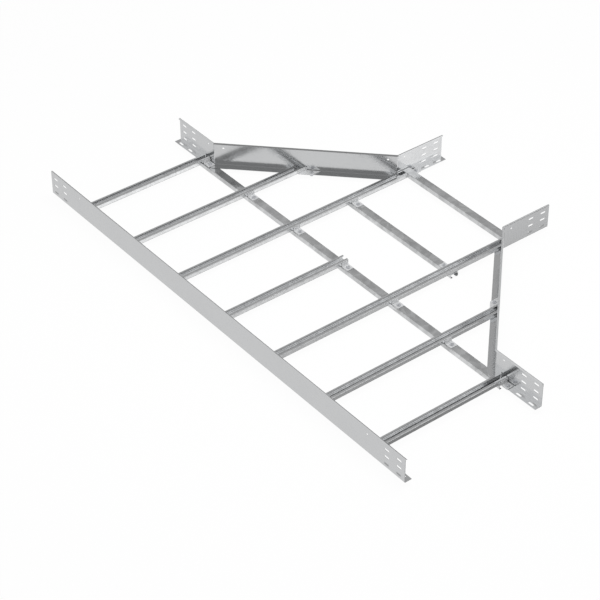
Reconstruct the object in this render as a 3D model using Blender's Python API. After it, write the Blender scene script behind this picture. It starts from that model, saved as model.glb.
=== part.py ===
"""Cable ladder tee of folded galvanised sheet.

Three side rails hold seven rungs across the main run. Three cross rungs lie along it,
upside down, and small angle brackets with a bolt and nut each tie the pieces together.

X runs along the main run and Y towards the branch. The origin is where the two centre
lines cross, on the floor of the middle rung.
"""
import math

import bmesh
import bpy
from mathutils import Vector

# All sizes are in metres.

# Plan of the tee, measured over the outer faces of the rail webs
RUN_WIDTH = 0.600
BRANCH_WIDTH = 0.600
END_LENGTH = 0.225
DIAGONAL_REACH_X = 0.505
DIAGONAL_REACH_Y = 0.500

# Side rail section: a tall web, a wide flange below and a top edge folded inwards and down
RAIL_HEIGHT = 0.100
RAIL_FLANGE = 0.030
RAIL_EDGE = 0.008
RAIL_EDGE_FOLD = math.radians(135)
RAIL_BEND = 0.003
PLAN_BEND = 0.004
SHEET = 0.0015

# Rung section: a lipped channel, open on one side
RUNG_WIDTH = 0.035
RUNG_HEIGHT = 0.018
RUNG_SLOT = 0.017
RUNG_BEND = 0.0025

# The outermost rungs and the last cross rung stand this far off the middle of the room that the
# splice slots leave them
OUTER_RUNG_SHIFT = -0.00225
BRANCH_CROSS_SHIFT = -0.00375

# Line of holes and bolts in the lower flanges, from the outer web face
FLANGE_GAUGE = 0.0195

# Slots and holes for the splice plates at the six rail ends
SLOT_LENGTH = 0.024
SLOT_WIDTH = 0.008
SLOT_COLUMNS = (0.030, 0.090)
SLOT_ROWS = (0.016, 0.046, 0.076)
PILOT_DIAMETER = 0.008
PILOT_FROM_BEND = 0.036
PILOT_HEIGHT = 0.076

# Angle brackets
BRACKET_WIDTH = 0.030
BRACKET_HEIGHT = 0.016
BRACKET_SHEET = 0.002
BRACKET_BEND = 0.003
FOOT_PAST_BOLT = 0.013
BOLT_FROM_RUNG = 0.038
DIAGONAL_BOLT_FROM_RUNG = 0.045

# Bolts and nuts
BOLT_DIAMETER = 0.0074
BOLT_HOLE = 0.009
HEAD_DIAMETER = 0.0162
HEAD_HEIGHT = 0.0044
# Dome of the head, from its rim to its top, as shares of its radius and height
HEAD_DOME = ((1.0, 0.0), (1.0, 0.25), (0.86, 0.66), (0.5, 0.93), (0.15, 1.0))
BOLT_PAST_NUT = 0.002
NUT_ACROSS_FLATS = 0.013
NUT_HEIGHT = 0.008
NUT_FLANGE_DIAMETER = 0.0172
NUT_FLANGE_HEIGHT = 0.0016

# Clearances
SEAT_GAP = 0.0003
RUNG_END_GAP = 0.002
CROSS_RUNG_OVERHANG = 0.002
CUT_MARGIN = 0.004

# Facets
BEND_STEPS = 4
PLAN_STEPS = 4
SLOT_STEPS = 6
ROUND_SIDES = 12
HOLE_SIDES = 16

# Heights that follow from the sheets lying on each other, from the rungs' underside
RAIL_BASE = -SEAT_GAP - SHEET
MAIN_CROSS_TOP = RAIL_BASE - SEAT_GAP
MIDDLE_CROSS_TOP = -SEAT_GAP

# Plan positions that follow from the sizes above
RUN_EDGE = RUN_WIDTH / 2
BRANCH_EDGE = BRANCH_WIDTH / 2
MAIN_CORNER_X = BRANCH_EDGE + DIAGONAL_REACH_X
RUN_END_X = MAIN_CORNER_X + END_LENGTH
BRANCH_CORNER_Y = RUN_EDGE + DIAGONAL_REACH_Y
BRANCH_END_Y = BRANCH_CORNER_Y + END_LENGTH
DIAGONAL_SLOPE = DIAGONAL_REACH_Y / DIAGONAL_REACH_X
DIAGONAL_COSINE = math.cos(math.atan(DIAGONAL_SLOPE))
# From a corner to a rung whose own width and bracket's foot fill the middle of the room beside the slots
END_ROOM = END_LENGTH - SLOT_COLUMNS[-1] - SLOT_LENGTH / 2
RUNG_AND_FOOT = RUNG_WIDTH / 2 + BOLT_FROM_RUNG + FOOT_PAST_BOLT
END_RUNG_PAST_CORNER = (END_ROOM - RUNG_AND_FOOT + RUNG_WIDTH) / 2

MAIN_CROSS_Y = RUN_EDGE - FLANGE_GAUGE
BRANCH_CROSS_Y = BRANCH_CORNER_Y + END_RUNG_PAST_CORNER + BRANCH_CROSS_SHIFT
MIDDLE_CROSS_Y = (MAIN_CROSS_Y + BRANCH_CROSS_Y) / 2
WEB_CLEARANCE = SHEET + RUNG_END_GAP

# The inner rungs stand flush with the branch, the next ones halfway out to the outermost
INNER_RUNG_X = BRANCH_EDGE - RUNG_WIDTH / 2
OUTER_RUNG_X = MAIN_CORNER_X + END_RUNG_PAST_CORNER + OUTER_RUNG_SHIFT
DIAGONAL_RUNG_X = (INNER_RUNG_X + OUTER_RUNG_X) / 2
MAIN_CROSS_HALF = OUTER_RUNG_X + RUNG_WIDTH / 2

STRAIGHT_RAIL_PATH = ((RUN_END_X, -RUN_EDGE), (-RUN_END_X, -RUN_EDGE))
LEFT_RAIL_PATH = (
    (-RUN_END_X, RUN_EDGE),
    (-MAIN_CORNER_X, RUN_EDGE),
    (-BRANCH_EDGE, BRANCH_CORNER_Y),
    (-BRANCH_EDGE, BRANCH_END_Y),
)
RIGHT_RAIL_PATH = tuple((-x, y) for x, y in reversed(LEFT_RAIL_PATH))

# Centre lines of the rungs, from left to right
RUNG_PLACES = (
    -OUTER_RUNG_X,
    -DIAGONAL_RUNG_X,
    -INNER_RUNG_X,
    0.0,
    INNER_RUNG_X,
    DIAGONAL_RUNG_X,
    OUTER_RUNG_X,
)

UP = Vector((0.0, 0.0, 1.0))
RAIL_COLOUR = (0.56, 0.57, 0.58)
RUNG_COLOUR = (0.60, 0.61, 0.62)
BRACKET_COLOUR = (0.66, 0.67, 0.68)
FASTENER_COLOUR = (0.50, 0.51, 0.53)


def clear_scene():
    for item in list(bpy.data.objects):
        bpy.data.objects.remove(item, do_unlink=True)


def steel(name, colour, roughness):
    material = bpy.data.materials.new(name)
    material.use_nodes = True
    shader = material.node_tree.nodes["Principled BSDF"]
    shader.inputs["Base Color"].default_value = (*colour, 1.0)
    shader.inputs["Metallic"].default_value = 1.0
    shader.inputs["Roughness"].default_value = roughness
    return material


def add_object(name, bm, parent, colour=None, roughness=0.35):
    """Turn a bmesh into a shaded object of its own."""
    bmesh.ops.recalc_face_normals(bm, faces=bm.faces)
    mesh = bpy.data.meshes.new(name)
    bm.to_mesh(mesh)
    bm.free()
    mesh.shade_smooth()
    mesh.set_sharp_from_angle(angle=math.radians(30))
    item = bpy.data.objects.new(name, mesh)
    bpy.context.scene.collection.objects.link(item)
    item.parent = parent
    if colour is not None:
        mesh.materials.append(steel(name, colour, roughness))
    return item


def right_of(direction):
    return Vector((direction.y, -direction.x))


def turned(vector, angle):
    """Rotate a plane vector clockwise."""
    c, s = math.cos(angle), math.sin(angle)
    return Vector((c * vector.x + s * vector.y, c * vector.y - s * vector.x))


def folded_section(corners, sheet, bend):
    """Outline of a sheet folded clockwise along its outer corners, with round bends."""
    points = [Vector(corner) for corner in corners]
    headings = [(b - a).normalized() for a, b in zip(points, points[1:])]
    outer = [points[0]]
    inner = [points[0] + sheet * right_of(headings[0])]
    for point, before, after in zip(points[1:-1], headings, headings[1:]):
        angle = before.angle(after)
        centre = point - before * bend * math.tan(angle / 2) + bend * right_of(before)
        for step in range(BEND_STEPS + 1):
            spoke = -turned(right_of(before), angle * step / BEND_STEPS)
            outer.append(centre + bend * spoke)
            inner.append(centre + (bend - sheet) * spoke)
    outer.append(points[-1])
    inner.append(points[-1] + sheet * right_of(headings[-1]))
    return [tuple(p) for p in outer + inner[::-1]]


def plan_stations(path, bend):
    """Points along a rail's outer web face, each with its inward direction.

    The rails bend away from their flanges, so each bend's centre lies outside the tee.
    """
    points = [Vector(point) for point in path]
    headings = [(b - a).normalized() for a, b in zip(points, points[1:])]
    stations = [(points[0], right_of(headings[0]))]
    for point, before, after in zip(points[1:-1], headings, headings[1:]):
        angle = before.angle(after)
        centre = point - before * bend * math.tan(angle / 2) - bend * right_of(before)
        for step in range(PLAN_STEPS + 1):
            inward = turned(right_of(before), -angle * step / PLAN_STEPS)
            stations.append((centre + bend * inward, inward))
    stations.append((points[-1], right_of(headings[-1])))
    return stations


def loft(rings, capped=True):
    """Skin a row of equal rings, closed at its ends by caps or into a loop."""
    bm = bmesh.new()
    rows = [[bm.verts.new(point) for point in ring] for ring in rings]
    pairs = list(zip(rows, rows[1:]))
    if not capped:
        pairs.append((rows[-1], rows[0]))
    for row, following in pairs:
        for i in range(len(row)):
            j = (i + 1) % len(row)
            bm.faces.new((row[i], row[j], following[j], following[i]))
    if capped:
        bm.faces.new(rows[0][::-1])
        bm.faces.new(rows[-1])
    return bm


def sweep(outline, stations):
    """Carry a section through stations of (origin, across, up)."""
    return loft([[o + a * across + b * up for a, b in outline] for o, across, up in stations])


def circle(radius, height, sides):
    turns = [2 * math.pi * i / sides for i in range(sides)]
    return [Vector((radius * math.cos(t), radius * math.sin(t), height)) for t in turns]


def add_obround(bm, centre, along, across, axis, length, width, depth):
    """Add a round-ended prism, centred on a point, to a cutter."""
    radius = width / 2
    reach = (length - width) / 2
    outline = []
    for side, start in ((1, -math.pi / 2), (-1, math.pi / 2)):
        for step in range(SLOT_STEPS + 1):
            t = start + math.pi * step / SLOT_STEPS
            outline.append((side * reach + radius * math.cos(t), radius * math.sin(t)))
    rows = []
    for level in (-depth, depth):
        rows.append([bm.verts.new(centre + a * along + b * across + level * axis) for a, b in outline])
    bm.faces.new(rows[0][::-1])
    bm.faces.new(rows[1])
    for i in range(len(outline)):
        j = (i + 1) % len(outline)
        bm.faces.new((rows[0][i], rows[0][j], rows[1][j], rows[1][i]))


def add_round(bm, centre, axis, diameter, depth):
    """Add a round pin, centred on a point, to a cutter."""
    across = axis.orthogonal().normalized()
    upward = axis.cross(across)
    turns = [2 * math.pi * i / HOLE_SIDES for i in range(HOLE_SIDES)]
    radius = diameter / 2
    rows = []
    for level in (-depth, depth):
        ring = [centre + radius * (math.cos(t) * across + math.sin(t) * upward) + level * axis for t in turns]
        rows.append([bm.verts.new(point) for point in ring])
    bm.faces.new(rows[0][::-1])
    bm.faces.new(rows[1])
    for i in range(HOLE_SIDES):
        j = (i + 1) % HOLE_SIDES
        bm.faces.new((rows[0][i], rows[0][j], rows[1][j], rows[1][i]))


def add_cutter(name, bm, parent):
    cutter = add_object(name, bm, parent)
    cutter.hide_render = True
    cutter.display_type = "WIRE"
    return cutter


def cut(item, cutter):
    modifier = item.modifiers.new(cutter.name, "BOOLEAN")
    modifier.operation = "DIFFERENCE"
    modifier.solver = "EXACT"
    modifier.object = cutter


def path_legs(path):
    """Start, end, heading and inward direction of each straight leg of a rail."""
    legs = []
    for a, b in zip(path, path[1:]):
        start, end = Vector(a), Vector(b)
        heading = (end - start).normalized()
        legs.append((start, end, heading, right_of(heading)))
    return legs


def make_rail_cutter(name, path, parent, straight):
    """Splice slots at both ends of a rail, and its small round holes."""
    bm = bmesh.new()
    legs = path_legs(path)
    ends = [(legs[0][0], legs[0][2], legs[0][3]), (legs[-1][1], -legs[-1][2], legs[-1][3])]
    for end, heading, inward in ends:
        corner, along, across = (v.to_3d() for v in (end, heading, inward))
        for column in SLOT_COLUMNS:
            for row in SLOT_ROWS:
                centre = corner + column * along + (RAIL_BASE + row) * UP
                add_obround(bm, centre, along, UP, across, SLOT_LENGTH, SLOT_WIDTH, CUT_MARGIN)
            centre = corner + column * along + FLANGE_GAUGE * across + RAIL_BASE * UP
            add_obround(bm, centre, along, across, UP, SLOT_LENGTH, SLOT_WIDTH, CUT_MARGIN)
        centre = corner + (END_LENGTH - PILOT_FROM_BEND) * along + (RAIL_BASE + PILOT_HEIGHT) * UP
        add_round(bm, centre, across, PILOT_DIAMETER, CUT_MARGIN)
    if not straight:
        start, end, heading, inward = (v.to_3d() for v in legs[1])
        for point, step in ((start, PILOT_FROM_BEND), (end, -PILOT_FROM_BEND)):
            centre = point + step * heading + (RAIL_BASE + PILOT_HEIGHT) * UP
            add_round(bm, centre, inward, PILOT_DIAMETER, CUT_MARGIN)
    return add_cutter(name, bm, parent)


def make_rail(name, path, parent, bolt_holes, straight=False):
    # The two flat sides of the top fold would meet at this height, above the rounded top
    peak = RAIL_HEIGHT + RAIL_BEND * (math.tan(RAIL_EDGE_FOLD / 2) - 1)
    tip = peak - RAIL_EDGE / math.tan(math.pi - RAIL_EDGE_FOLD)
    corners = ((RAIL_FLANGE, 0.0), (0.0, 0.0), (0.0, peak), (RAIL_EDGE, tip))
    section = folded_section(corners, SHEET, RAIL_BEND)
    stations = [(p.to_3d(), inward.to_3d(), UP) for p, inward in plan_stations(path, PLAN_BEND)]
    rail = add_object(name, sweep(section, stations), parent, RAIL_COLOUR)
    rail.location.z = RAIL_BASE
    cut(rail, make_rail_cutter(name + "_slots", path, parent, straight))
    cut(rail, bolt_holes)
    return rail


def rung_section():
    half, lip = RUNG_WIDTH / 2, RUNG_SLOT / 2
    corners = ((lip, RUNG_HEIGHT), (half, RUNG_HEIGHT), (half, 0.0))
    corners += tuple((-x, z) for x, z in reversed(corners))
    return folded_section(corners, SHEET, RUNG_BEND)


def make_rung(name, length, parent):
    """A rung along its own Y axis, slot upwards, from zero to its length."""
    stations = [(Vector((0.0, y, 0.0)), Vector((1.0, 0.0, 0.0)), UP) for y in (0.0, length)]
    return add_object(name, sweep(rung_section(), stations), parent, RUNG_COLOUR)


def make_cross_rung(name, half_length, y, top, parent, bolt_holes):
    """A rung laid along X and turned upside down, with its closed side at a given height."""
    rung = make_rung(name, 2 * half_length, parent)
    rung.rotation_euler = (0.0, math.pi, -math.pi / 2)
    rung.location = (-half_length, y, top)
    if bolt_holes is not None:
        cut(rung, bolt_holes)
    return rung


def make_diagonal_cutter(name, side, parent):
    """The space beyond the inner faces of a diagonal and a branch web, where no rung may reach."""
    slack = WEB_CLEARANCE / DIAGONAL_COSINE
    low = Vector((-MAIN_CORNER_X, RUN_EDGE - slack))
    run = WEB_CLEARANCE - BRANCH_EDGE - low.x
    bend = low + Vector((run, run * DIAGONAL_SLOPE))
    high = Vector((bend.x, BRANCH_CROSS_Y))
    far = Vector((low.x, high.y))
    outline = [Vector((side * p.x, p.y)) for p in (low, bend, high, far)]
    return add_cutter(
        name,
        loft([[Vector((p.x, p.y, z)) for p in outline] for z in (-CUT_MARGIN, RUNG_HEIGHT + CUT_MARGIN)]),
        parent,
    )


def diagonal_height(x):
    """Y of the diagonal's outer web face at a distance x from the branch's centre line."""
    return RUN_EDGE + (MAIN_CORNER_X - abs(x)) * DIAGONAL_SLOPE


def make_bracket(name, joint, parent, bolt_holes):
    """An angle with its upright leg on a rung's wall and its foot on what the rung crosses."""
    wall = RUNG_WIDTH / 2 + SEAT_GAP
    toe = joint["bolt_from_rung"] + FOOT_PAST_BOLT
    section = folded_section(((toe, 0.0), (wall, 0.0), (wall, BRACKET_HEIGHT)), BRACKET_SHEET, BRACKET_BEND)
    slope = joint["slope"]
    half = BRACKET_WIDTH / 2 / math.cos(math.atan(slope))
    across = Vector((1.0, slope, 0.0))
    start = Vector((0.0, -slope * joint["bolt_from_rung"], 0.0))
    stations = [(start + Vector((0.0, v, 0.0)), across, UP) for v in (-half, half)]
    bracket = add_object(name, sweep(section, stations), parent, BRACKET_COLOUR, 0.3)
    bracket.location = (*joint["centre"], joint["seat"] + SEAT_GAP)
    bracket.rotation_euler.z = joint["turn"]
    cut(bracket, bolt_holes)
    return bracket


def bolt_place(joint):
    """Plan position of a bracket's bolt."""
    reach = joint["bolt_from_rung"]
    x, y = joint["centre"]
    return x + reach * math.cos(joint["turn"]), y + reach * math.sin(joint["turn"])


def make_bolt(name, joint, parent):
    """A round-headed bolt, with its head on the bracket's foot."""
    head = HEAD_DIAMETER / 2
    shank = BOLT_DIAMETER / 2
    under_head = joint["seat"] + SEAT_GAP + BRACKET_SHEET + SEAT_GAP
    length = under_head - joint["underside"] + SEAT_GAP + NUT_HEIGHT + BOLT_PAST_NUT
    rings = [circle(shank, -length, ROUND_SIDES), circle(shank, 0.0, ROUND_SIDES)]
    rings += [circle(head * across, HEAD_HEIGHT * rise, ROUND_SIDES) for across, rise in HEAD_DOME]
    bolt = add_object(name, loft(rings), parent, FASTENER_COLOUR, 0.3)
    bolt.location = (*bolt_place(joint), under_head)
    return bolt


def make_nut(name, joint, parent):
    """A hexagon nut with a flange, hung under the lowest sheet that its bolt clamps."""
    bore = BOLT_DIAMETER / 2 + SEAT_GAP
    flange = NUT_FLANGE_DIAMETER / 2
    flat = NUT_ACROSS_FLATS / 2
    corner = flat / math.cos(math.pi / 6)
    turns = [2 * math.pi * i / ROUND_SIDES for i in range(ROUND_SIDES)]
    radii = [corner if i % 2 == 0 else flat for i in range(ROUND_SIDES)]

    def hexagon(height):
        return [Vector((r * math.cos(t), r * math.sin(t), height)) for r, t in zip(radii, turns)]

    rings = [
        circle(bore, 0.0, ROUND_SIDES),
        circle(flange, 0.0, ROUND_SIDES),
        circle(flange, -NUT_FLANGE_HEIGHT, ROUND_SIDES),
        hexagon(-NUT_FLANGE_HEIGHT),
        hexagon(-NUT_HEIGHT),
        circle(bore, -NUT_HEIGHT, ROUND_SIDES),
    ]
    nut = add_object(name, loft(rings, capped=False), parent, FASTENER_COLOUR, 0.4)
    nut.location = (*bolt_place(joint), joint["underside"] - SEAT_GAP)
    return nut


def make_joints():
    """Every place where a bracket ties a rung to what it crosses."""
    main_underside = MAIN_CROSS_TOP - SHEET
    middle_underside = MIDDLE_CROSS_TOP - SHEET
    flange_top = -SEAT_GAP
    joints = {}

    def add(name, centre, turn, seat, underside, bolt_from_rung=BOLT_FROM_RUNG, slope=0.0):
        joints[name] = {
            "centre": centre,
            "turn": turn,
            "seat": seat,
            "underside": underside,
            "bolt_from_rung": bolt_from_rung,
            "slope": slope,
        }

    for number, x in enumerate(RUNG_PLACES, 1):
        seat = flange_top if abs(x) == OUTER_RUNG_X else MAIN_CROSS_TOP
        underside = main_underside if x + BOLT_FROM_RUNG < MAIN_CROSS_HALF else RAIL_BASE
        add(f"main_{number}", (x, MAIN_CROSS_Y), 0.0, seat, underside)
    for side, word, turn in ((-1, "left", 0.0), (1, "right", math.pi)):
        add(f"middle_{word}", (side * INNER_RUNG_X, MIDDLE_CROSS_Y), turn, MIDDLE_CROSS_TOP, middle_underside)
        bolt_x = DIAGONAL_RUNG_X - DIAGONAL_BOLT_FROM_RUNG
        centre = (side * DIAGONAL_RUNG_X, diagonal_height(bolt_x) - FLANGE_GAUGE / DIAGONAL_COSINE)
        slope = -side * DIAGONAL_SLOPE
        add(f"diagonal_{word}", centre, turn, flange_top, RAIL_BASE, DIAGONAL_BOLT_FROM_RUNG, slope)
        centre = (side * (BRANCH_EDGE - FLANGE_GAUGE), BRANCH_CROSS_Y)
        add(f"branch_{word}", centre, math.pi / 2, flange_top, RAIL_BASE)
    return joints


def make_bolt_holes(joints, parent):
    """One cutter with a round pin at every bolt."""
    bm = bmesh.new()
    for joint in joints.values():
        x, y = bolt_place(joint)
        middle = (joint["seat"] + joint["underside"]) / 2
        depth = (joint["seat"] - joint["underside"]) / 2 + BRACKET_SHEET + CUT_MARGIN
        add_round(bm, Vector((x, y, middle)), UP, BOLT_HOLE, depth)
    return add_cutter("bolt_holes", bm, parent)


def build():
    clear_scene()
    frame = bpy.data.objects.new("tee_frame", None)
    frame.location.z = -SHEET
    bpy.context.scene.collection.objects.link(frame)

    joints = make_joints()
    bolt_holes = make_bolt_holes(joints, frame)

    make_rail("rail_straight", STRAIGHT_RAIL_PATH, frame, bolt_holes, straight=True)
    make_rail("rail_left", LEFT_RAIL_PATH, frame, bolt_holes)
    make_rail("rail_right", RIGHT_RAIL_PATH, frame, bolt_holes)

    diagonals = {side: make_diagonal_cutter(f"beyond_diagonal_{word}", side, frame)
                 for side, word in ((1, "left"), (-1, "right"))}
    start = -RUN_EDGE + WEB_CLEARANCE
    ends = {
        OUTER_RUNG_X: RUN_EDGE - WEB_CLEARANCE,
        DIAGONAL_RUNG_X: BRANCH_CORNER_Y,
        INNER_RUNG_X: BRANCH_CROSS_Y - RUNG_WIDTH / 2 - SEAT_GAP,
        0.0: MAIN_CROSS_Y + RUNG_WIDTH / 2,
    }
    for number, x in enumerate(RUNG_PLACES, 1):
        rung = make_rung(f"rung_{number}", ends[abs(x)] - start, frame)
        rung.location = (x, start, 0.0)
        if abs(x) in (INNER_RUNG_X, DIAGONAL_RUNG_X):
            cut(rung, diagonals[1 if x < 0 else -1])

    middle_half = INNER_RUNG_X + RUNG_WIDTH / 2 + CROSS_RUNG_OVERHANG
    branch_half = BRANCH_EDGE - WEB_CLEARANCE
    make_cross_rung("cross_rung_main", MAIN_CROSS_HALF, MAIN_CROSS_Y, MAIN_CROSS_TOP, frame, bolt_holes)
    make_cross_rung("cross_rung_middle", middle_half, MIDDLE_CROSS_Y, MIDDLE_CROSS_TOP, frame, bolt_holes)
    make_cross_rung("cross_rung_branch", branch_half, BRANCH_CROSS_Y, RUNG_HEIGHT, frame, None)

    for name, joint in joints.items():
        make_bracket("bracket_" + name, joint, frame, bolt_holes)
        make_bolt("bolt_" + name, joint, frame)
        make_nut("nut_" + name, joint, frame)


build()
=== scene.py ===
"""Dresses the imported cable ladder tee: galvanised sheet, zinc plated bolts and nuts, weld beads,
and a pale studio with the camera at the photograph's angle.

Lengths are in metres. X runs along the main run, Y towards the branch, Z up.
"""
import math

import bpy
from bpy.props import FloatProperty, FloatVectorProperty, IntProperty, PointerProperty
from mathutils import Matrix, Quaternion, Vector


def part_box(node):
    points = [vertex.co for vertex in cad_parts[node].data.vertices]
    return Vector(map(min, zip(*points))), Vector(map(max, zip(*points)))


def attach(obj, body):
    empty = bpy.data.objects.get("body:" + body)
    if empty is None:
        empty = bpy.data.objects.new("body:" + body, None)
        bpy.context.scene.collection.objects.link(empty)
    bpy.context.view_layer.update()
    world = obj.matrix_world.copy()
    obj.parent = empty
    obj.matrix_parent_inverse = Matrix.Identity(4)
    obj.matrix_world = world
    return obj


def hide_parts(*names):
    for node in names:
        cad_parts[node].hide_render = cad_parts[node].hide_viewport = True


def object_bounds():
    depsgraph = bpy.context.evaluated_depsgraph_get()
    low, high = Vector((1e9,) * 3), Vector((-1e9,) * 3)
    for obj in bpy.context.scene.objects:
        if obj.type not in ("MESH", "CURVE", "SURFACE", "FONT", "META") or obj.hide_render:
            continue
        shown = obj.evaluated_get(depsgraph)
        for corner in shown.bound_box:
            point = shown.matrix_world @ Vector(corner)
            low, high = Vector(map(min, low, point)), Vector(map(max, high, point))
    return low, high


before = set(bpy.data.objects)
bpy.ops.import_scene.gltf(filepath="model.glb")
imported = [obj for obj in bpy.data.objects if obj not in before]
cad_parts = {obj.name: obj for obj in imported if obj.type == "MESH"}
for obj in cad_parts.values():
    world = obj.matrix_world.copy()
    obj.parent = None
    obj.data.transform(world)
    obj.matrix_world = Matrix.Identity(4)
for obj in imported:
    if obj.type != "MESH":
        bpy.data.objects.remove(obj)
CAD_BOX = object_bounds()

bl_info = {
    "name": "Cable ladder tee",
    "version": (1, 0, 0),
    "blender": (4, 5, 0),
    "location": "3D View > Sidebar > Ladder tee",
    "description": "Dresses a cable ladder tee in galvanised steel and sets up its studio",
    "category": "Object",
}

JOINTS = sorted(name[len("bolt_"):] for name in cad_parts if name.startswith("bolt_"))
RAILS = sorted(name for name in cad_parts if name.startswith("rail_"))
RUNGS = sorted(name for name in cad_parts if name.startswith("rung_"))
CROSS_RUNGS = sorted(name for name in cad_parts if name.startswith("cross_rung_"))

# Outer faces of the rails' webs, from the centre lines of the run and of the branch, which is as wide
WEB_FACE = -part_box("rail_straight")[0].y
RAIL_SHEET = 0.0015
# How far the diagonal webs reach along the run and along the branch
DIAGONAL_REACH = (0.505, 0.500)
DIAGONAL_ANGLE = math.atan2(DIAGONAL_REACH[1], DIAGONAL_REACH[0])

# Rim and height of each ring of a bolt's domed head, as shares of its radius and height
HEAD_DOME = (
    (1.0, 0.16), (0.975, 0.3), (0.9, 0.5), (0.78, 0.68), (0.62, 0.82), (0.42, 0.93), (0.2, 0.985),
)
# A thread's crest and each of its flanks, as shares of the pitch
THREAD_CREST = 0.2
THREAD_FLANK = 0.4

# Radii on a nut as shares of its corners': its face inside the chamfer, the chamfer's cone at the
# seat, and the neck that the flange slopes up to
NUT_FACE = 0.93
NUT_CONE = 1.9
NUT_NECK = 0.9
# How far the chamfer's cone stands past the seat, as a share of the nut's height
CONE_OVERLAP = 0.02

# Rounded end of a weld bead: its tip and shoulder as shares of its radius, and the steps from tip
# to shoulder and from shoulder to full width as shares of its width
BEAD_SIDES = 10
BEAD_TIP = 0.35
BEAD_SHOULDER = 0.8
BEAD_TIP_STEP = 0.15
BEAD_SHOULDER_STEP = 0.35
# Thickness of the disc that a bead grows from, as a share of a ripple
BEAD_DISC = 0.125
# A ripple narrows to its neck over most of its length and swells again over the rest
RIPPLE_NECK = 0.9
RIPPLE_NARROWS = 0.7

# Points closer than this are one point, and edges that turn less than this angle are shaded smooth
MERGE_DISTANCE = 1e-6
SMOOTH_ANGLE = math.radians(35)
# Cosine above which a face counts as looking straight up or down
CAP_COSINE = 0.99

# Crystals and clouds in the zinc are added up, the crystals at this weight, and fill this range
CRYSTAL_WEIGHT = 0.4
PATTERN_RANGE = {"From Min": 0.3, "From Max": 1.1}
# How far the zinc's pattern moves its roughness either way
ZINC_GLOSS = 0.03
# Tool marks on plated steel and how far they lower and raise its roughness. Real marks are about
# 0.1 mm wide, too fine to show, so they are drawn coarser.
TOOL_MARK = 0.0015
POLISHED, SCUFFED = 0.05, 0.08

# The studio's walls as the metal mirrors them: the direction that each lies in, the cosines from
# that direction where it starts and where it is whole, and its light. Each covers those before it.
STUDIO_WALLS = (
    ("overhead", (0.0, 0.1, 0.995), (0.80, 0.92), 0.24),
    ("left_wall", (-0.95, 0.16, 0.14), (0.82, 0.92), 0.64),
    ("right_wall_low", (0.62, 0.487, -0.614), (0.80, 0.93), 1.06),
    ("right_horizon", (0.88, 0.47, 0.02), (0.89, 0.96), 0.08),
    ("right_wall_high", (0.62, 0.487, 0.614), (0.88, 0.96), 1.0),
    ("left_horizon", (-0.69, 0.72, -0.05), (0.90, 0.97), 0.05),
    ("back_horizon", (-0.12, 0.987, 0.09), (0.90, 0.97), 0.90),
    ("front_right_high", (0.42, -0.57, 0.71), (0.82, 0.95), 0.22),
    ("front_left_high", (-0.64, -0.53, 0.56), (0.80, 0.94), 0.77),
)
# Walls that fade in from another light: the axis they fade along, where along it, and that light
WALL_FADES = {
    "right_wall_low": ((1.0, 0.0, 1.0), (-0.12, 0.10), 0.12),
    "right_wall_high": ((0.0, 1.0, 0.0), (0.48, 0.57), 0.74),
    "front_right_high": ((1.0, 0.0, 0.0), (0.2, 0.6), 0.27),
    "front_left_high": ((0.0, 0.0, 1.0), (0.45, 0.62), 0.62),
}
# Sine of the height below and above the horizon where the low walls turn into the ceiling
HORIZON = 0.2

FLOOR_SIZE = 60.0
FLOOR_GAP = 0.0005
# Share of plain white in the floor as the camera sees it; the rest takes the tee's shadow
FLOOR_WHITE = 0.96
SENSOR_WIDTH = 36.0


def linear(code):
    """An sRGB hex colour as linear red, green and blue."""
    channels = [int(code[i : i + 2], 16) / 255 for i in (0, 2, 4)]
    return tuple(c / 12.92 if c <= 0.04045 else ((c + 0.055) / 1.055) ** 2.4 for c in channels)


def add_node(tree, kind, settings=None, values=None, links=None):
    """Add a node, set its properties and input values, and link inputs from other nodes' sockets."""
    node = tree.nodes.new(kind)
    for name, value in (settings or {}).items():
        setattr(node, name, value)
    for name, value in (values or {}).items():
        node.inputs[name].default_value = value
    for name, socket in (links or {}).items():
        tree.links.new(socket, node.inputs[name])
    return node


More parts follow.
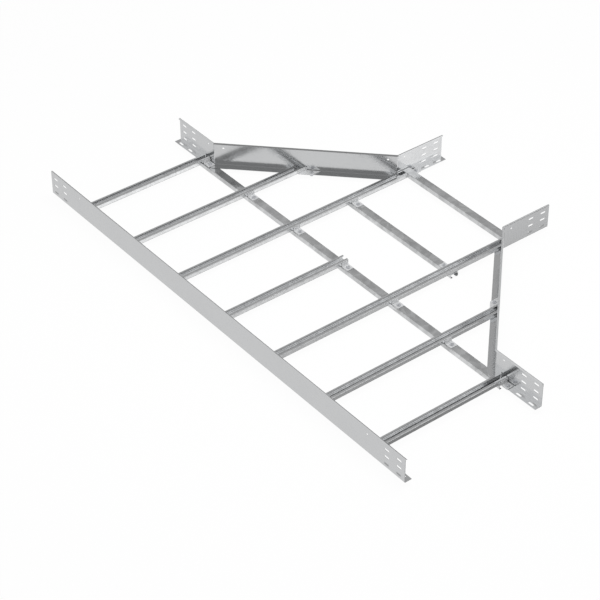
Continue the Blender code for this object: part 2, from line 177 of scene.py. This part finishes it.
class LadderSteelSettings(bpy.types.PropertyGroup):
    """Colours and finish of the sheet, the welds and the fasteners."""

    sheet_colour: FloatVectorProperty(
        name="Sheet colour", description="Zinc on the rails", subtype="COLOR", size=3, min=0, max=1,
        default=linear("E7E8E9"),
    )
    rung_colour: FloatVectorProperty(
        name="Rung colour", description="Zinc on the rungs and cross rungs", subtype="COLOR", size=3,
        min=0, max=1, default=linear("E6E7E8"),
    )
    bracket_colour: FloatVectorProperty(
        name="Bracket colour", description="Zinc on the angle brackets", subtype="COLOR", size=3,
        min=0, max=1, default=linear("E7E8E9"),
    )
    fastener_colour: FloatVectorProperty(
        name="Fastener colour", description="Zinc plating on bolts and nuts", subtype="COLOR", size=3,
        min=0, max=1, default=linear("DADCE0"),
    )
    weld_colour: FloatVectorProperty(
        name="Weld colour", description="Zinc over the weld beads", subtype="COLOR", size=3,
        min=0, max=1, default=linear("CFD1D2"),
    )
    sheet_roughness: FloatProperty(
        name="Sheet roughness", description="How far the rails blur what they mirror",
        subtype="FACTOR", min=0, max=1, default=0.18,
    )
    rung_roughness: FloatProperty(
        name="Rung roughness", description="How far the rungs blur what they mirror",
        subtype="FACTOR", min=0, max=1, default=0.17,
    )
    bracket_roughness: FloatProperty(
        name="Bracket roughness", description="How far the brackets blur what they mirror",
        subtype="FACTOR", min=0, max=1, default=0.42,
    )
    weld_roughness: FloatProperty(
        name="Weld roughness", description="How far the weld beads blur what they mirror",
        subtype="FACTOR", min=0, max=1, default=0.34,
    )
    bolt_roughness: FloatProperty(
        name="Bolt roughness", description="How far the bolts blur what they mirror",
        subtype="FACTOR", min=0, max=1, default=0.30,
    )
    nut_roughness: FloatProperty(
        name="Nut roughness", description="How far the nuts blur what they mirror",
        subtype="FACTOR", min=0, max=1, default=0.36,
    )
    bracket_bareness: FloatProperty(
        name="Bare bracket", description="Share of bare metal on the brackets, under a pale bloom",
        subtype="FACTOR", min=0, max=1, default=0.35,
    )
    fastener_bareness: FloatProperty(
        name="Bare fastener", description="Share of bare metal on bolts and nuts, under a pale bloom",
        subtype="FACTOR", min=0, max=1, default=0.70,
    )
    spangle: FloatProperty(
        name="Spangle", description="Width of one zinc crystal", subtype="DISTANCE", min=0.001,
        default=0.009,
    )
    cloud: FloatProperty(
        name="Cloud", description="Width of the soft clouds in the zinc", subtype="DISTANCE", min=0.01,
        default=0.12,
    )


class LadderFastenerSettings(bpy.types.PropertyGroup):
    """Sizes of the fine shape of bolts, nuts and welds."""

    sides: IntProperty(
        name="Sides", description="Facets round the bolts and the round parts of the nuts", min=12,
        default=32,
    )
    thread_pitch: FloatProperty(
        name="Thread pitch", description="Distance between thread turns", subtype="DISTANCE",
        default=0.00125,
    )
    thread_depth: FloatProperty(
        name="Thread depth", description="Depth of a thread groove", subtype="DISTANCE", default=0.0006,
    )
    nut_flats: FloatProperty(
        name="Nut width", description="Width of a nut across its flats", subtype="DISTANCE",
        default=0.013,
    )
    nut_flange_height: FloatProperty(
        name="Nut flange", description="Height of the nut's flange at its rim", subtype="DISTANCE",
        default=0.0012,
    )
    bead_width: FloatProperty(
        name="Weld bead", description="Width of a weld bead", subtype="DISTANCE", default=0.0042,
    )
    ripple: FloatProperty(
        name="Weld ripple", description="Distance between ripples in a bead", subtype="DISTANCE",
        default=0.0018,
    )


class LadderStageSettings(bpy.types.PropertyGroup):
    """Camera, floor and light."""

    azimuth: FloatProperty(
        name="Azimuth", description="Camera's turn round the tee", subtype="ANGLE",
        default=math.radians(51.85),
    )
    elevation: FloatProperty(
        name="Elevation", description="Camera's height above the horizon", subtype="ANGLE",
        default=math.radians(37.878),
    )
    roll: FloatProperty(
        name="Roll", description="Camera's tilt about its own axis", subtype="ANGLE",
        default=math.radians(-0.14),
    )
    distance: FloatProperty(
        name="Distance", description="From the camera to its target", subtype="DISTANCE",
        default=7.206,
    )
    target: FloatVectorProperty(
        name="Target", description="Point in the middle of the picture", subtype="TRANSLATION", size=3,
        default=(0.07928, 0.02537, -0.0019),
    )
    lens: FloatProperty(
        name="Lens", description="Focal length in millimetres on a 36 mm sensor",
        subtype="DISTANCE_CAMERA", default=121.685,
    )
    floor_colour: FloatVectorProperty(
        name="Floor", description="Pale floor", subtype="COLOR", size=3, min=0, max=1,
        default=linear("FAFAFA"),
    )
    studio_low: FloatProperty(
        name="Low walls", description="Light from below the horizon", subtype="FACTOR", min=0, max=1,
        default=0.68,
    )
    studio_high: FloatProperty(
        name="Ceiling", description="Light from above", subtype="FACTOR", min=0, max=1, default=0.40,
    )
    softbox: FloatProperty(
        name="Softbox", description="Power of the lamp overhead", subtype="POWER", min=0, default=75.0,
    )
    softbox_size: FloatProperty(
        name="Softbox size", description="Side of the lamp's square", subtype="DISTANCE", default=2.5,
    )
    softbox_place: FloatVectorProperty(
        name="Softbox place", description="Middle of the lamp", subtype="TRANSLATION", size=3,
        default=(0.3, 0.4, 3.2),
    )
    softbox_aim: FloatVectorProperty(
        name="Softbox aim", description="Point that the lamp looks at", subtype="TRANSLATION", size=3,
        default=(0.0, 0.3, 0.0),
    )


def settings():
    """The steel's, the fasteners' and the stage's settings."""
    scene = bpy.context.scene
    return scene.ladder_steel, scene.ladder_fasteners, scene.ladder_stage


# Materials


def start_metal(name, bareness):
    """A new material, its node tree, its shader and the piece's own coordinates.

    Bareness is the share of bare metal: below 1 the zinc has a pale, matt bloom.
    """
    material = bpy.data.materials.new(name)
    material.use_nodes = True
    tree = material.node_tree
    shader = tree.nodes["Principled BSDF"]
    shader.inputs["Metallic"].default_value = bareness
    place = add_node(tree, "ShaderNodeTexCoord")
    return material, tree, shader, place.outputs["Object"]


def galvanised(name, colour, roughness, spangle, cloud, contrast, bareness=1.0):
    """Zinc that mirrors softly, with faint crystals and wide pale clouds in its colour and gloss."""
    material, tree, shader, place = start_metal(name, bareness)
    crystals = add_node(
        tree, "ShaderNodeTexVoronoi", {"feature": "F1"}, {"Scale": 1 / spangle}, {"Vector": place},
    )
    clouds = add_node(
        tree, "ShaderNodeTexNoise", None, {"Scale": 1 / cloud, "Detail": 2.0, "Roughness": 0.5},
        {"Vector": place},
    )
    grey = add_node(tree, "ShaderNodeSeparateColor", None, None, {"Color": crystals.outputs["Color"]})
    both = add_node(
        tree, "ShaderNodeMath", {"operation": "MULTIPLY_ADD"}, {1: CRYSTAL_WEIGHT},
        {0: grey.outputs["Red"], 2: clouds.outputs["Fac"]},
    )
    shade = add_node(
        tree, "ShaderNodeMapRange", None,
        {**PATTERN_RANGE, "To Min": 1 - contrast, "To Max": 1 + contrast}, {"Value": both.outputs[0]},
    )
    tint = add_node(
        tree, "ShaderNodeMix", {"data_type": "RGBA", "blend_type": "MULTIPLY"},
        {"Factor": 1.0, "A": (*colour, 1.0)}, {"B": shade.outputs["Result"]},
    )
    tree.links.new(tint.outputs["Result"], shader.inputs["Base Color"])
    gloss = add_node(
        tree, "ShaderNodeMapRange", None,
        {**PATTERN_RANGE, "To Min": roughness + ZINC_GLOSS, "To Max": roughness - ZINC_GLOSS},
        {"Value": both.outputs[0]},
    )
    tree.links.new(gloss.outputs["Result"], shader.inputs["Roughness"])
    return material


def zinc_plating(name, colour, roughness, bareness):
    """Zinc plated steel, turned and pressed, with fine tool marks in its gloss."""
    material, tree, shader, place = start_metal(name, bareness)
    shader.inputs["Base Color"].default_value = (*colour, 1.0)
    marks = add_node(
        tree, "ShaderNodeTexNoise", None, {"Scale": 1 / TOOL_MARK, "Detail": 2.0}, {"Vector": place},
    )
    gloss = add_node(
        tree, "ShaderNodeMapRange", None,
        {"To Min": roughness - POLISHED, "To Max": roughness + SCUFFED}, {"Value": marks.outputs["Fac"]},
    )
    tree.links.new(gloss.outputs["Result"], shader.inputs["Roughness"])
    return material


def dress(names, material):
    """Give carried-over CAD nodes their material."""
    for name in names:
        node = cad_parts[name]
        node.data.materials.clear()
        node.data.materials.append(material)


# Modelling helpers


def deselect():
    """Leave edit mode and deselect everything."""
    if bpy.context.object is not None and bpy.context.object.mode != "OBJECT":
        bpy.ops.object.mode_set(mode="OBJECT")
    bpy.ops.object.select_all(action="DESELECT")


def extrude_ring(rise, centre, scale):
    """Extrude the selected cap by a rise and scale its rim about a centre."""
    bpy.ops.mesh.extrude_region_move(TRANSFORM_OT_translate={"value": (0.0, 0.0, rise)})
    bpy.ops.transform.resize(value=(scale, scale, 1.0), center_override=centre)


def settle(item):
    """Put a finished piece's place into its mesh, and shade it smooth with sharp edges kept."""
    deselect()
    item.select_set(True)
    bpy.context.view_layer.objects.active = item
    bpy.ops.object.transform_apply(location=True, rotation=True, scale=True)
    bpy.ops.object.mode_set(mode="EDIT")
    bpy.ops.mesh.select_all(action="SELECT")
    bpy.ops.mesh.remove_doubles(threshold=MERGE_DISTANCE)
    bpy.ops.mesh.normals_make_consistent(inside=False)
    bpy.ops.object.mode_set(mode="OBJECT")
    bpy.ops.object.shade_smooth_by_angle(angle=SMOOTH_ANGLE)
    return item


def place_piece(master, name, place, material, stands_for=None, turn=0.0):
    """A copy of a settled piece with its own mesh, turned and moved within that mesh, and dressed."""
    piece = master.copy()
    piece.data = master.data.copy()
    piece.name = piece.data.name = name
    piece.data.transform(Matrix.Translation(place) @ Matrix.Rotation(turn, 4, "Z"))
    piece.data.materials.clear()
    piece.data.materials.append(material)
    bpy.context.scene.collection.objects.link(piece)
    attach(piece, "root")
    if stands_for:
        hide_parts(stands_for)
    return piece


def discard(masters):
    """Remove the pieces that were only there to be copied."""
    for master in masters:
        bpy.data.objects.remove(master, do_unlink=True)


def select_caps(item, up):
    """Edit the mesh with its faces that look straight up, or straight down with up at -1, selected."""
    # Points and edges that stayed selected from before would be extruded too, into stray faces
    bpy.ops.object.mode_set(mode="EDIT")
    bpy.ops.mesh.select_mode(type="FACE")
    bpy.ops.mesh.select_all(action="DESELECT")
    bpy.ops.object.mode_set(mode="OBJECT")
    for polygon in item.data.polygons:
        polygon.select = polygon.normal.z * up > CAP_COSINE
    bpy.ops.object.mode_set(mode="EDIT")


def boolean(item, other, operation):
    """Join, cut or keep a piece by another, which goes."""
    modifier = item.modifiers.new(operation.lower(), "BOOLEAN")
    modifier.operation = operation
    modifier.solver = "EXACT"
    modifier.object = other
    deselect()
    item.select_set(True)
    bpy.context.view_layer.objects.active = item
    bpy.ops.object.modifier_apply(modifier=modifier.name)
    bpy.data.objects.remove(other, do_unlink=True)


def model_bolt(shank, head, head_height, length, sides, pitch, depth):
    """A round-headed bolt at the origin, its head's underside at zero, threads cut round the shank."""
    crest, flank = pitch * THREAD_CREST, pitch * THREAD_FLANK
    deselect()
    bpy.ops.mesh.primitive_cylinder_add(
        vertices=sides, radius=shank, depth=crest, location=(0, 0, -crest / 2),
    )
    bolt = bpy.context.object
    select_caps(bolt, -1)
    z = -crest
    root = (shank - depth) / shank
    while z - pitch > -length + pitch:
        extrude_ring(-flank, (0, 0, z), root)
        extrude_ring(-flank, (0, 0, z), 1 / root)
        extrude_ring(-crest, (0, 0, z), 1.0)
        z -= pitch
    extrude_ring(-(length + z - flank), (0, 0, z), 1.0)
    extrude_ring(-flank, (0, 0, z), root)
    select_caps(bolt, 1)
    extrude_ring(0.0, (0, 0, 0), head / shank)
    across, reached = 1.0, 0.0
    for rim, rise in HEAD_DOME:
        extrude_ring((rise - reached) * head_height, (0, 0, 0), rim / across)
        across, reached = rim, rise
    bpy.ops.object.mode_set(mode="OBJECT")
    return settle(bolt)


def model_nut(bore, flats, height, flange, rim, sides):
    """A flanged hexagon nut at the origin, its flange's seat at zero and its body below."""
    corner = flats / 2 / math.cos(math.pi / 6)
    deselect()
    bpy.ops.mesh.primitive_cylinder_add(
        vertices=6, radius=corner, depth=height, location=(0, 0, -height / 2),
    )
    nut = bpy.context.object
    # A cone round the nut chamfers the corners of its lower face
    deselect()
    bpy.ops.mesh.primitive_cone_add(
        vertices=sides, radius1=corner * NUT_FACE, radius2=corner * NUT_CONE,
        depth=height * (1 + CONE_OVERLAP), location=(0, 0, height * (CONE_OVERLAP - 1) / 2),
    )
    boolean(nut, bpy.context.object, "INTERSECT")
    deselect()
    bpy.ops.mesh.primitive_cylinder_add(
        vertices=sides, radius=flange, depth=rim, location=(0, 0, -rim / 2),
    )
    washer = bpy.context.object
    select_caps(washer, -1)
    extrude_ring(-rim, (0, 0, -rim), corner * NUT_NECK / flange)
    bpy.ops.object.mode_set(mode="OBJECT")
    boolean(nut, washer, "UNION")
    # The bore's cutter stands out by the nut's height at both ends
    deselect()
    bpy.ops.mesh.primitive_cylinder_add(
        vertices=sides, radius=bore, depth=height * 3, location=(0, 0, -height / 2),
    )
    boolean(nut, bpy.context.object, "DIFFERENCE")
    return settle(nut)


def model_bead(length, width, ripple):
    """A weld bead along X, centred on the origin, with a ripple for each step of the torch."""
    count = round(length / ripple)
    step = (length - width) / count
    disc = step * BEAD_DISC
    deselect()
    bpy.ops.mesh.primitive_cylinder_add(
        vertices=BEAD_SIDES, radius=width / 2 * BEAD_TIP, depth=disc,
        location=(0, 0, -(length - disc) / 2),
    )
    bead = bpy.context.object
    select_caps(bead, 1)
    extrude_ring(width * BEAD_TIP_STEP, (0, 0, 0), BEAD_SHOULDER / BEAD_TIP)
    extrude_ring(width * BEAD_SHOULDER_STEP - disc, (0, 0, 0), 1.0 / BEAD_SHOULDER)
    for _ in range(count):
        extrude_ring(step * RIPPLE_NARROWS, (0, 0, 0), RIPPLE_NECK)
        extrude_ring(step * (1 - RIPPLE_NARROWS), (0, 0, 0), 1 / RIPPLE_NECK)
    extrude_ring(width * BEAD_SHOULDER_STEP, (0, 0, 0), BEAD_SHOULDER)
    extrude_ring(width * BEAD_TIP_STEP, (0, 0, 0), BEAD_TIP / BEAD_SHOULDER)
    bpy.ops.object.mode_set(mode="OBJECT")
    # Laid along X, with its middle at the origin
    bead.location = (bead.location.z, 0.0, 0.0)
    bead.rotation_euler = (0.0, math.pi / 2, 0.0)
    return settle(bead)


def bead_places():
    """Name, place, turn and length of each weld bead, in the gap between a rung's end and a web."""
    inner = WEB_FACE - RAIL_SHEET
    places = []
    for rung in RUNGS:
        low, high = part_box(rung)
        x, width = (low.x + high.x) / 2, high.x - low.x
        gap = inner + low.y
        middle = inner - gap / 2
        level = low.z + gap / 2
        places.append((rung + "_straight", (x, -middle, level), 0.0, width))
        # How far the rung stands inside the diagonal web's low corner
        inside = WEB_FACE + DIAGONAL_REACH[0] - abs(x)
        if abs(x) > inner and inside > 0:
            y = WEB_FACE + inside * math.tan(DIAGONAL_ANGLE)
            y -= (RAIL_SHEET + gap / 2) / math.cos(DIAGONAL_ANGLE)
            turn = math.copysign(DIAGONAL_ANGLE, -x)
            places.append((rung + "_diagonal", (x, y, level), turn, width / math.cos(DIAGONAL_ANGLE)))
        elif inside <= 0:
            places.append((rung + "_far", (x, middle, level), 0.0, width))
    low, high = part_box("cross_rung_branch")
    middle = (high.x + inner) / 2
    level = low.z + inner - middle
    y, width = (low.y + high.y) / 2, high.y - low.y
    for side, x in (("left", -middle), ("right", middle)):
        places.append(("cross_rung_branch_" + side, (x, y, level), math.pi / 2, width))
    return places


class LADDER_OT_dress_rails(bpy.types.Operator):
    """Give the side rails their galvanised finish"""

    bl_idname = "ladder.dress_rails"
    bl_label = "Dress rails"

    def execute(self, context):
        steel, _, _ = settings()
        # Strip galvanised before folding: even, bright and softly mirroring, with barely any crystal
        sheet = galvanised(
            "galvanised_sheet_rolled", steel.sheet_colour, steel.sheet_roughness,
            spangle=steel.spangle, cloud=steel.cloud, contrast=0.012,
        )
        dress(RAILS, sheet)
        return {"FINISHED"}


class LADDER_OT_dress_rungs(bpy.types.Operator):
    """Give the rungs and cross rungs their galvanised finish"""

    bl_idname = "ladder.dress_rungs"
    bl_label = "Dress rungs"

    def execute(self, context):
        steel, _, _ = settings()
        # Roll formed from galvanised strip: the same zinc, a little cloudier where rolls pressed it
        strip = galvanised(
            "galvanised_strip_rollformed", steel.rung_colour, steel.rung_roughness,
            spangle=steel.spangle, cloud=steel.cloud / 3, contrast=0.09,
        )
        dress(RUNGS, strip)
        # The same strip upside down: the eye meets its broad outer face, mottled by wide crystals
        face = galvanised(
            "galvanised_strip_spangled_face", steel.rung_colour, steel.rung_roughness,
            spangle=steel.spangle * 2.5, cloud=steel.cloud / 3, contrast=0.24,
        )
        dress(CROSS_RUNGS, face)
        return {"FINISHED"}


class LADDER_OT_dress_brackets(bpy.types.Operator):
    """Give the angle brackets their galvanised finish"""

    bl_idname = "ladder.dress_brackets"
    bl_label = "Dress brackets"

    def execute(self, context):
        steel, _, _ = settings()
        # Punched, folded and then barrel galvanised: paler and duller than the strip that they tie
        sheet = galvanised(
            "barrel_galvanised_bracket", steel.bracket_colour, steel.bracket_roughness,
            spangle=steel.spangle / 2, cloud=steel.cloud / 4, contrast=0.02,
            bareness=steel.bracket_bareness,
        )
        dress(["bracket_" + joint for joint in JOINTS], sheet)
        return {"FINISHED"}


class LADDER_OT_make_welds(bpy.types.Operator):
    """Model the weld beads that hold the rungs' ends to the rails"""

    bl_idname = "ladder.make_welds"
    bl_label = "Make welds"

    def execute(self, context):
        steel, fasteners, _ = settings()
        # Zinc brushed over a rippled bead: duller and cloudier than the sheet
        zinc = galvanised(
            "galvanised_weld_bead", steel.weld_colour, steel.weld_roughness,
            spangle=steel.spangle / 4, cloud=steel.cloud / 12, contrast=0.05,
        )
        # Beads of one length, to 0.1 mm, are copies of one
        masters = {}
        for name, place, turn, length in bead_places():
            key = round(length, 4)
            if key not in masters:
                masters[key] = model_bead(length, fasteners.bead_width, fasteners.ripple)
            place_piece(masters[key], "weld_bead_" + name, Vector(place), zinc, turn=turn)
        discard(masters.values())
        return {"FINISHED"}


class LADDER_OT_make_bolts(bpy.types.Operator):
    """Model the round-headed bolts with their threads"""

    bl_idname = "ladder.make_bolts"
    bl_label = "Make bolts"

    def execute(self, context):
        steel, fasteners, _ = settings()
        # Cold headed and zinc plated, gone pale in store: one soft highlight on each dome
        plating = zinc_plating(
            "zinc_plated_bolt_steel", steel.fastener_colour, steel.bolt_roughness,
            steel.fastener_bareness,
        )
        # Bolts of one length, to 0.01 mm, are copies of one
        masters = {}
        for joint in JOINTS:
            low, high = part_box("bolt_" + joint)
            centre = (low + high) / 2
            points = [v.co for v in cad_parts["bolt_" + joint].data.vertices]
            # The second lowest ring of points is the one under the head
            seat = sorted({round(p.z, 6) for p in points})[1]
            shank = min((p.xy - centre.xy).length for p in points if p.z < (low.z + seat) / 2)
            key = round(seat - low.z, 5)
            if key not in masters:
                masters[key] = model_bolt(
                    shank, (high.x - low.x) / 2, high.z - seat, seat - low.z,
                    fasteners.sides, fasteners.thread_pitch, fasteners.thread_depth,
                )
            place = Vector((centre.x, centre.y, seat))
            place_piece(
                masters[key], "round_bolt_" + joint, place, plating, "bolt_" + joint,
            )
        discard(masters.values())
        return {"FINISHED"}


class LADDER_OT_make_nuts(bpy.types.Operator):
    """Model the flanged hexagon nuts"""

    bl_idname = "ladder.make_nuts"
    bl_label = "Make nuts"

    def execute(self, context):
        steel, fasteners, _ = settings()
        # Pressed and zinc plated, a little duller than the bolts
        plating = zinc_plating(
            "zinc_plated_nut_steel", steel.fastener_colour, steel.nut_roughness, steel.fastener_bareness,
        )
        low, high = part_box("nut_" + JOINTS[0])
        middle = (low + high) / 2
        points = [v.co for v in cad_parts["nut_" + JOINTS[0]].data.vertices]
        bore = min((p.xy - middle.xy).length for p in points)
        master = model_nut(
            bore, fasteners.nut_flats, high.z - low.z, (high.x - low.x) / 2,
            fasteners.nut_flange_height, fasteners.sides,
        )
        for joint in JOINTS:
            low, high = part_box("nut_" + joint)
            place = Vector(((low.x + high.x) / 2, (low.y + high.y) / 2, high.z))
            place_piece(master, "flange_nut_" + joint, place, plating, "nut_" + joint)
        discard([master])
        return {"FINISHED"}


class LADDER_OT_set_stage(bpy.types.Operator):
    """Set the camera, the pale floor and the soft studio light"""

    bl_idname = "ladder.set_stage"
    bl_label = "Set stage"

    def execute(self, context):
        _, _, stage = settings()
        context.scene.view_settings.view_transform = "Standard"
        self.make_camera(context.scene, stage)
        self.make_floor(stage)
        self.make_world(context.scene, stage)
        self.make_lamp(context.scene, stage)
        return {"FINISHED"}

    def make_camera(self, scene, stage):
        """The camera at the photograph's angle."""
        back = Vector((
            math.sin(stage.azimuth) * math.cos(stage.elevation),
            -math.cos(stage.azimuth) * math.cos(stage.elevation),
            math.sin(stage.elevation),
        ))
        camera = bpy.data.objects.new("photo_camera", bpy.data.cameras.new("photo_camera"))
        scene.collection.objects.link(camera)
        camera.data.sensor_width = SENSOR_WIDTH
        camera.data.lens = stage.lens
        camera.rotation_mode = "QUATERNION"
        camera.location = Vector(stage.target) + back * stage.distance
        camera.rotation_quaternion = (-back).to_track_quat("-Z", "Y") @ Quaternion((0, 0, 1), stage.roll)
        scene.camera = camera

    def direct_sight(self, tree):
        """A light path node, and one where a ray comes from the camera or through glass."""
        path = add_node(tree, "ShaderNodeLightPath")
        seen = add_node(
            tree, "ShaderNodeMath", {"operation": "MAXIMUM"}, None,
            {0: path.outputs["Is Camera Ray"], 1: path.outputs["Is Transmission Ray"]},
        )
        return path, seen.outputs[0]

    def make_floor(self, stage):
        """The pale floor just under the tee."""
        deselect()
        low, _ = CAD_BOX
        bpy.ops.mesh.primitive_plane_add(size=FLOOR_SIZE, location=(0.0, 0.0, low.z - FLOOR_GAP))
        floor = bpy.context.object
        floor.name = "studio_floor"
        material = bpy.data.materials.new("matt_painted_floor")
        material.use_nodes = True
        tree = material.node_tree
        tree.nodes.clear()
        # Matt paint, white to the eye with a trace of the tee's shadow. The metal doesn't mirror it
        # and sees the studio's low walls in its place.
        matt = add_node(tree, "ShaderNodeBsdfDiffuse", None, {"Color": (*stage.floor_colour, 1.0)})
        glow = add_node(
            tree, "ShaderNodeEmission", None, {"Color": (1.0, 1.0, 1.0, 1.0), "Strength": 1.0},
        )
        clear = add_node(tree, "ShaderNodeBsdfTransparent")
        path, seen = self.direct_sight(tree)
        share = add_node(tree, "ShaderNodeMath", {"operation": "MULTIPLY"}, {1: FLOOR_WHITE}, {0: seen})
        white = add_node(
            tree, "ShaderNodeMixShader", None, None,
            {0: share.outputs[0], 1: matt.outputs[0], 2: glow.outputs[0]},
        )
        mirrored = add_node(
            tree, "ShaderNodeMixShader", None, None,
            {0: path.outputs["Is Glossy Ray"], 1: white.outputs[0], 2: clear.outputs[0]},
        )
        add_node(tree, "ShaderNodeOutputMaterial", None, None, {"Surface": mirrored.outputs[0]})
        floor.data.materials.append(material)

    def make_world(self, scene, stage):
        """White to the camera, and graded studio walls to all else."""
        world = bpy.data.worlds.new("studio")
        scene.world = world
        world.use_nodes = True
        tree = world.node_tree
        tree.nodes.clear()
        place = add_node(tree, "ShaderNodeTexCoord").outputs["Generated"]
        axes = add_node(tree, "ShaderNodeSeparateXYZ", None, None, {"Vector": place})
        plain = add_node(
            tree, "ShaderNodeMapRange", {"interpolation_type": "SMOOTHSTEP"},
            {"From Min": -HORIZON, "From Max": HORIZON, "To Min": stage.studio_low,
             "To Max": stage.studio_high},
            {"Value": axes.outputs["Z"]},
        )
        light = plain.outputs["Result"]
        for name, centre, cosines, brightness in STUDIO_WALLS:
            light = self.add_wall(tree, place, light, name, centre, cosines, brightness)
        _, seen = self.direct_sight(tree)
        strength = add_node(
            tree, "ShaderNodeMix", {"data_type": "FLOAT"}, {"B": 1.0}, {"Factor": seen, "A": light},
        )
        shader = add_node(
            tree, "ShaderNodeBackground", None, {"Color": (1.0, 1.0, 1.0, 1.0)},
            {"Strength": strength.outputs["Result"]},
        )
        add_node(tree, "ShaderNodeOutputWorld", None, None, {"Surface": shader.outputs[0]})

    def add_wall(self, tree, place, light, name, centre, cosines, brightness):
        """Lay one wall over the light so far, and give the light with it."""
        facing = add_node(
            tree, "ShaderNodeVectorMath", {"operation": "DOT_PRODUCT", "label": name}, {1: centre},
            {0: place},
        )
        share = add_node(
            tree, "ShaderNodeMapRange", {"interpolation_type": "SMOOTHSTEP"},
            {"From Min": cosines[0], "From Max": cosines[1]}, {"Value": facing.outputs["Value"]},
        )
        mixed = add_node(
            tree, "ShaderNodeMix", {"data_type": "FLOAT"}, {"B": brightness},
            {"Factor": share.outputs["Result"], "A": light},
        )
        if name in WALL_FADES:
            axis, (first, last), dark = WALL_FADES[name]
            along = add_node(
                tree, "ShaderNodeVectorMath", {"operation": "DOT_PRODUCT"}, {1: axis}, {0: place},
            )
            tone = add_node(
                tree, "ShaderNodeMapRange", {"interpolation_type": "SMOOTHSTEP"},
                {"From Min": first, "From Max": last, "To Min": dark, "To Max": brightness},
                {"Value": along.outputs["Value"]},
            )
            tree.links.new(tone.outputs["Result"], mixed.inputs["B"])
        return mixed.outputs["Result"]

    def make_lamp(self, scene, stage):
        """A soft lamp overhead that the metal doesn't mirror."""
        lamp = bpy.data.lights.new("overhead_softbox", "AREA")
        lamp.energy = stage.softbox
        lamp.size = stage.softbox_size
        item = bpy.data.objects.new("overhead_softbox", lamp)
        item.location = stage.softbox_place
        aim = Vector(stage.softbox_aim) - item.location
        item.rotation_mode = "QUATERNION"
        item.rotation_quaternion = aim.to_track_quat("-Z", "Y")
        item.visible_glossy = False
        scene.collection.objects.link(item)


class LADDER_PT_tee(bpy.types.Panel):
    """Lists the steps that dress the tee"""

    bl_idname = "LADDER_PT_tee"
    bl_label = "Cable ladder tee"
    bl_space_type = "VIEW_3D"
    bl_region_type = "UI"
    bl_category = "Ladder tee"

    def draw(self, context):
        column = self.layout.column()
        for operator in OPERATORS:
            column.operator(operator.bl_idname)


GROUPS = (LadderSteelSettings, LadderFastenerSettings, LadderStageSettings)
OPERATORS = (
    LADDER_OT_dress_rails,
    LADDER_OT_dress_rungs,
    LADDER_OT_dress_brackets,
    LADDER_OT_make_welds,
    LADDER_OT_make_bolts,
    LADDER_OT_make_nuts,
    LADDER_OT_set_stage,
)


def register():
    for item in (*GROUPS, *OPERATORS, LADDER_PT_tee):
        bpy.utils.register_class(item)
    bpy.types.Scene.ladder_steel = PointerProperty(type=LadderSteelSettings)
    bpy.types.Scene.ladder_fasteners = PointerProperty(type=LadderFastenerSettings)
    bpy.types.Scene.ladder_stage = PointerProperty(type=LadderStageSettings)


def unregister():
    del bpy.types.Scene.ladder_stage
    del bpy.types.Scene.ladder_fasteners
    del bpy.types.Scene.ladder_steel
    for item in (LADDER_PT_tee, *reversed(OPERATORS), *reversed(GROUPS)):
        bpy.utils.unregister_class(item)


def main():
    register()
    bpy.ops.ladder.dress_rails()
    bpy.ops.ladder.dress_rungs()
    bpy.ops.ladder.dress_brackets()
    bpy.ops.ladder.make_welds()
    bpy.ops.ladder.make_bolts()
    bpy.ops.ladder.make_nuts()
    bpy.ops.ladder.set_stage()


if __name__ == "__main__":
    main()
